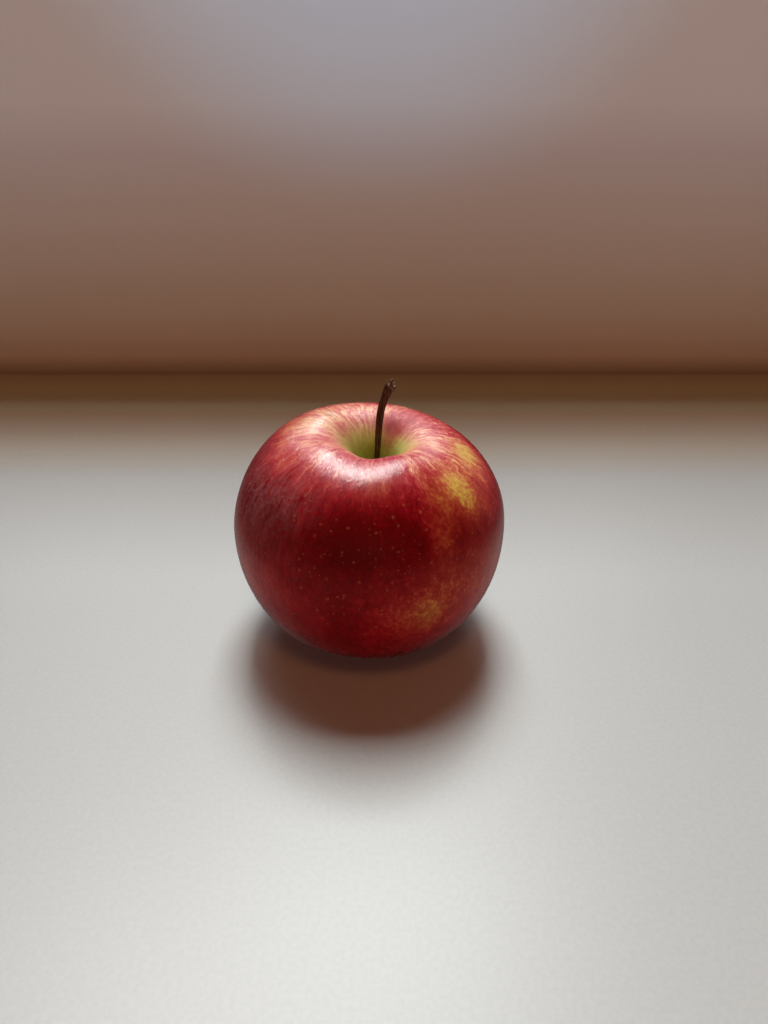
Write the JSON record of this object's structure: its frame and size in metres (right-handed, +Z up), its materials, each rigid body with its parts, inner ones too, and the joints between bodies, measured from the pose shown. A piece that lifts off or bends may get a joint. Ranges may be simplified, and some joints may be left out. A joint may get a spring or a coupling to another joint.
{
  "type": "whole apple",
  "caption": "Whole ripe apple, uncut, with its bent dry stalk in the stem hollow and the dried calyx in its base; rests on its own base.",
  "frame": {"origin": "on the floor under the middle of the fruit, level with the flat spots it rests on", "axes": "+Z up along the fruit's core, towards the stalk; -Y towards the side that the picture shows; +X to the right of that side"},
  "size_m": [0.075, 0.075, 0.0748],
  "materials": {
    "skin": "waxy, softly glossy red skin with yellow-green ground colour, streaks and pale dots",
    "stalk": "dry dark brown bark with a torn, tan end",
    "calyx": "dry, matt, grey-brown leaf tips"
  },
  "bodies": {
    "root": {"fruit": "skin", "stalk": "stalk", "calyx": "calyx"}
  },
  "joints": []
}
